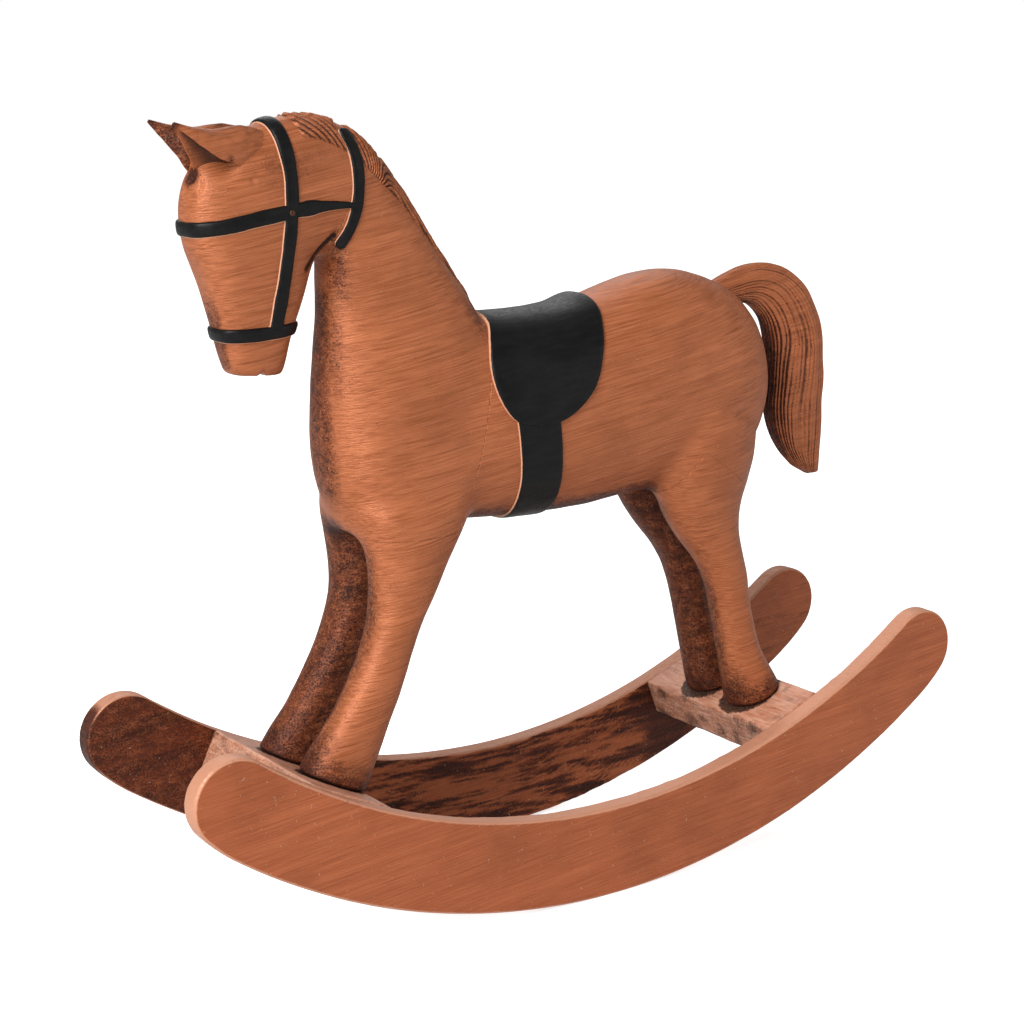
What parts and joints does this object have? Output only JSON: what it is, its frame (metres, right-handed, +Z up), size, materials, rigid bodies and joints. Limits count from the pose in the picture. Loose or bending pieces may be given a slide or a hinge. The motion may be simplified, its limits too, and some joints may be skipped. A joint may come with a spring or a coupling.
{
  "type": "rocking horse",
  "caption": "small carved wooden rocking horse ornament on two curved runners joined by cross boards, with relief saddle, girth and bridle",
  "frame": {"origin": "on the floor under the middle of the two runners, at the bottom centre of the whole object", "axes": "+Z up; head towards -X and tail towards +X; the horse's left side towards -Y"},
  "size_m": [0.3, 0.0786, 0.2527],
  "materials": {
    "copper_painted_wood": "brushed copper-brown paint over wood, rubbed edges, satin",
    "weathered_board_wood": "mottled pinkish-brown paint, matt",
    "black_satin_tack": "satin black",
    "copper_stud": "dull copper",
    "screw_steel": "zinc plated",
    "dowel_wood": "bare beech, glued in"
  },
  "bodies": {
    "root": {"barrel": "copper_painted_wood", "board_dowels": "dowel_wood", "browband": "black_satin_tack", "chest_and_neck": "copper_painted_wood", "crown_strap": "black_satin_tack", "ear_left": "copper_painted_wood", "ear_right": "copper_painted_wood", "foreleg_dowels": "dowel_wood", "foreleg_left": "copper_painted_wood", "foreleg_right": "copper_painted_wood", "front_cross_board": "weathered_board_wood", "girth": "black_satin_tack", "head": "copper_painted_wood", "head_dowel": "dowel_wood", "hindleg_dowels": "dowel_wood", "hindleg_left": "copper_painted_wood", "hindleg_right": "copper_painted_wood", "hoof_screws": "screw_steel", "mane": "copper_painted_wood", "neck_dowels": "dowel_wood", "noseband": "black_satin_tack", "rear_cross_board": "weathered_board_wood", "rocker_left": "copper_painted_wood", "rocker_right": "copper_painted_wood", "saddle": "black_satin_tack", "side_straps": "black_satin_tack", "strap_rivets": "copper_stud", "tail": "copper_painted_wood", "tail_peg": "dowel_wood", "throat_latch": "black_satin_tack"}
  },
  "joints": []
}
